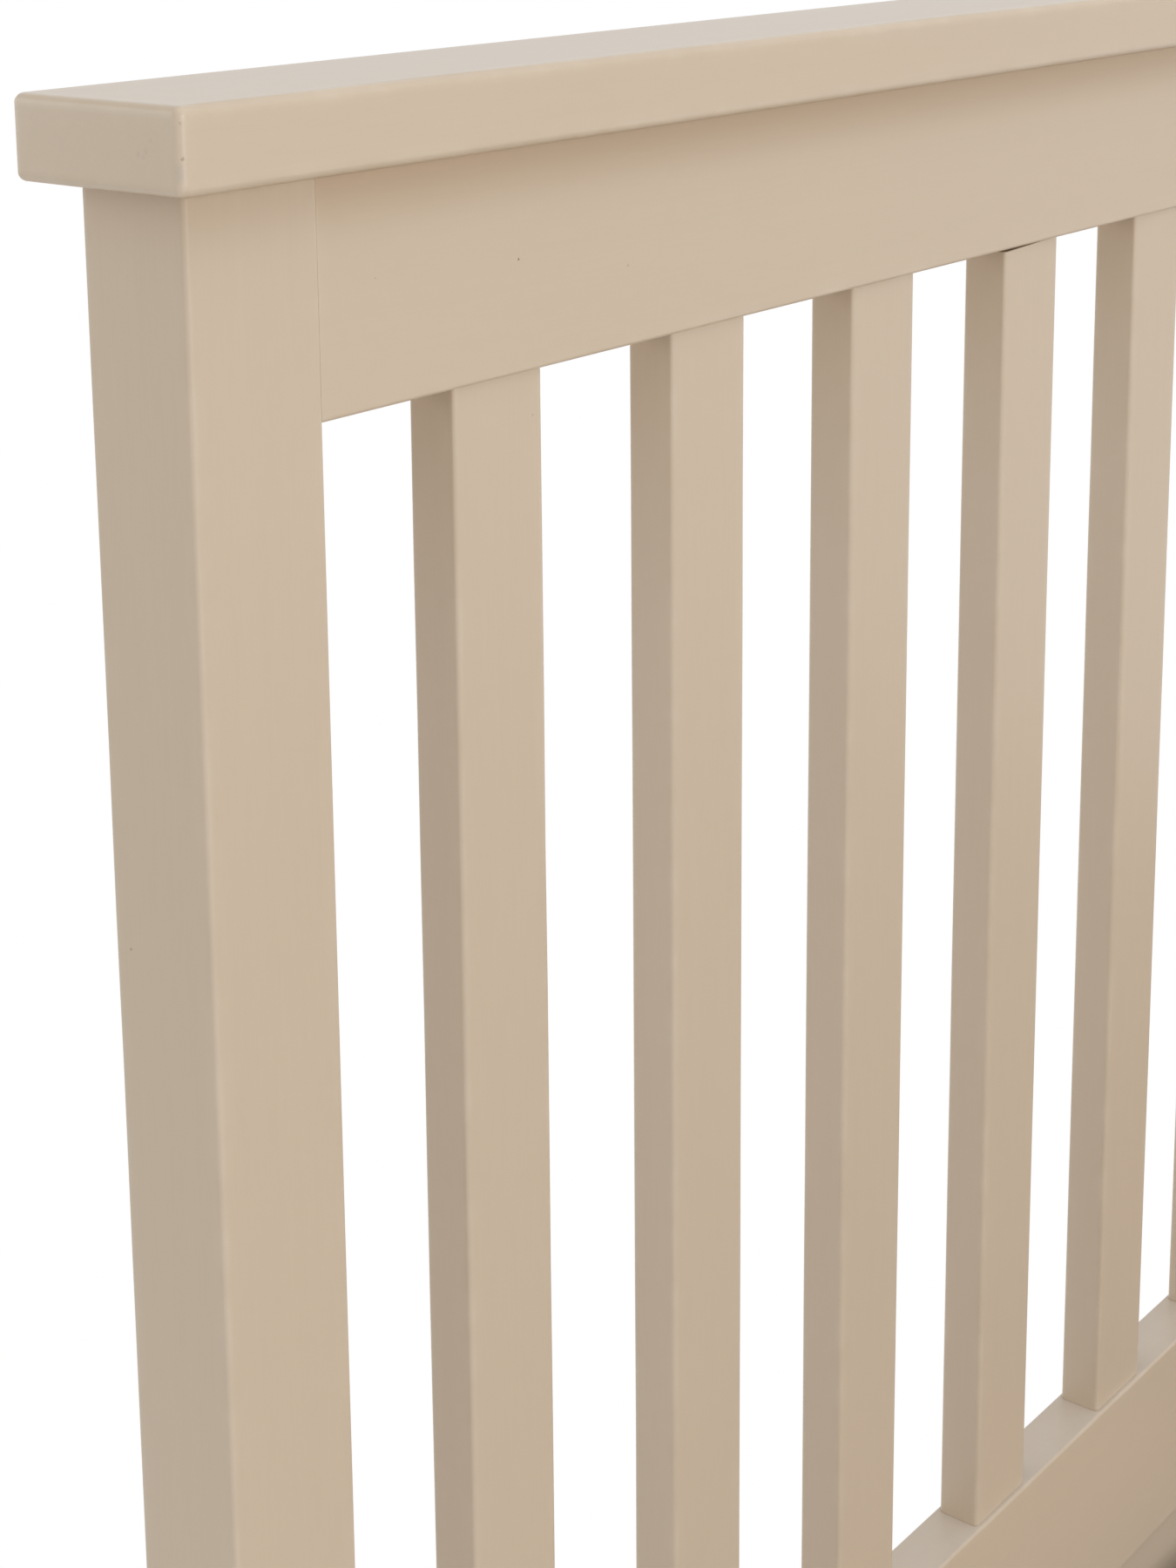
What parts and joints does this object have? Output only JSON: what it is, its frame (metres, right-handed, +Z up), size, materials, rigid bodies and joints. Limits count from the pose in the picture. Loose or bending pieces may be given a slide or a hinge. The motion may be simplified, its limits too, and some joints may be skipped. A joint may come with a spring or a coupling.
{
  "type": "ottoman bed",
  "caption": "Painted timber storage bed with an upright-slatted headboard, low panelled footboard, boxed sides and a sprung-slat platform that lifts from the foot on gas-strut hinges.",
  "frame": {"origin": "on the floor, under the middle of the bed's overall length and width", "axes": "+Y towards the headboard along the bed's length, +Z up, X across the bed"},
  "size_m": [1.452, 2.047, 1.06],
  "materials": {
    "painted_timber": "satin stone-beige paint over solid timber",
    "plain_timber": "bare planed softwood",
    "floor_board": "thin faced fibreboard",
    "beech": "lacquered laminated beech",
    "zinc_steel": "bright zinc plate",
    "grey_painted_steel": "silver-grey powder coat",
    "black_painted_steel": "black gloss paint",
    "polished_steel": "polished and nitrided rod",
    "black_plastic": "moulded matt plastic",
    "black_rubber": "moulded rubber",
    "black_webbing": "woven webbing"
  },
  "bodies": {
    "bed_frame": {"headboard_post_left": "painted_timber", "headboard_post_right": "painted_timber", "headboard_cap_rail": "painted_timber", "headboard_top_rail": "painted_timber", "headboard_lower_rail": "painted_timber", "headboard_panel": "painted_timber", "headboard_bottom_rail": "painted_timber", "headboard_slat_01": "painted_timber", "headboard_slat_02": "painted_timber", "headboard_slat_03": "painted_timber", "headboard_slat_04": "painted_timber", "headboard_slat_05": "painted_timber", "headboard_slat_06": "painted_timber", "headboard_slat_07": "painted_timber", "headboard_slat_08": "painted_timber", "headboard_slat_09": "painted_timber", "headboard_slat_10": "painted_timber", "headboard_slat_11": "painted_timber", "headboard_slat_12": "painted_timber", "headboard_slat_13": "painted_timber", "footboard_post_left": "painted_timber", "footboard_post_right": "painted_timber", "footboard_cap_rail": "painted_timber", "footboard_top_rail": "painted_timber", "footboard_panel": "painted_timber", "footboard_bottom_rail": "painted_timber", "side_rail_left": "painted_timber", "storage_floor_left": "floor_board", "side_rail_right": "painted_timber", "storage_floor_right": "floor_board", "floor_ledges": "plain_timber", "centre_floor_beam": "plain_timber", "beam_feet": "black_plastic", "post_glides": "black_plastic", "bed_bolts": "zinc_steel", "barrel_nuts": "zinc_steel", "platform_bumpers": "black_rubber", "hinge_plate_left": "zinc_steel", "hinge_plate_right": "zinc_steel", "hinge_screws": "zinc_steel", "hinge_pins": "zinc_steel"},
    "platform": {"platform_tube_left": "grey_painted_steel", "platform_tube_right": "grey_painted_steel", "platform_tube_head": "grey_painted_steel", "platform_tube_foot": "grey_painted_steel", "platform_tube_middle": "grey_painted_steel", "platform_brackets": "grey_painted_steel", "platform_pins": "zinc_steel", "sprung_slats": "beech", "slat_holders": "black_plastic", "mattress_stop_bar": "grey_painted_steel", "lift_strap": "black_webbing"},
    "long_arm_left": {"long_arm_left": "zinc_steel"},
    "short_arm_left": {"short_arm_left": "zinc_steel"},
    "strut_cylinder_left": {"strut_cylinder_left": "black_painted_steel"},
    "strut_rod_left": {"strut_rod_left": "polished_steel"},
    "long_arm_right": {"long_arm_right": "zinc_steel"},
    "short_arm_right": {"short_arm_right": "zinc_steel"},
    "strut_cylinder_right": {"strut_cylinder_right": "black_painted_steel"},
    "strut_rod_right": {"strut_rod_right": "polished_steel"}
  },
  "joints": [
    {"name": "platform_lift", "type": "hinge", "parent": "bed_frame", "child": "long_arm_left", "pos_m": [0, 0.228, 0.203], "axis": [1, 0, 0], "range_deg": [0, 57]},
    {"name": "platform_tilt", "type": "hinge", "parent": "long_arm_left", "child": "platform", "pos_m": [0, 0.521, 0.276], "axis": [-1, 0, 0], "range_deg": [0, 93]},
    {"name": "long_arm_right_pivot", "type": "hinge", "parent": "bed_frame", "child": "long_arm_right", "pos_m": [0, 0.228, 0.203], "axis": [1, 0, 0], "range_deg": [0, 57]},
    {"name": "short_arm_left_pivot", "type": "hinge", "parent": "bed_frame", "child": "short_arm_left", "pos_m": [0, 0.115, 0.1], "axis": [1, 0, 0], "range_deg": [0, 47.53]},
    {"name": "strut_left_pivot", "type": "hinge", "parent": "bed_frame", "child": "strut_cylinder_left", "pos_m": [0, 0.366, 0.1], "axis": [1, 0, 0], "range_deg": [0, 54.79]},
    {"name": "strut_left_stroke", "type": "slide", "parent": "strut_cylinder_left", "child": "strut_rod_left", "axis": [0, 0.8125, 0.583], "range_m": [0, 0.0698]},
    {"name": "short_arm_right_pivot", "type": "hinge", "parent": "bed_frame", "child": "short_arm_right", "pos_m": [0, 0.115, 0.1], "axis": [1, 0, 0], "range_deg": [0, 47.53]},
    {"name": "strut_right_pivot", "type": "hinge", "parent": "bed_frame", "child": "strut_cylinder_right", "pos_m": [0, 0.366, 0.1], "axis": [1, 0, 0], "range_deg": [0, 54.79]},
    {"name": "strut_right_stroke", "type": "slide", "parent": "strut_cylinder_right", "child": "strut_rod_right", "axis": [0, 0.8125, 0.583], "range_m": [0, 0.0698]}
  ],
  "couplings": [
    {"joint": "platform_tilt", "follows": "platform_lift", "ratio": 1.6316},
    {"joint": "long_arm_right_pivot", "follows": "platform_lift", "ratio": 1},
    {"joint": "short_arm_left_pivot", "follows": "platform_lift", "ratio": 0.83382},
    {"joint": "strut_left_pivot", "follows": "platform_lift", "ratio": 0.96118},
    {"joint": "strut_left_stroke", "follows": "platform_lift", "m_per_rad": 0.070158},
    {"joint": "short_arm_right_pivot", "follows": "platform_lift", "ratio": 0.83382},
    {"joint": "strut_right_pivot", "follows": "platform_lift", "ratio": 0.96118},
    {"joint": "strut_right_stroke", "follows": "platform_lift", "m_per_rad": 0.070158}
  ]
}
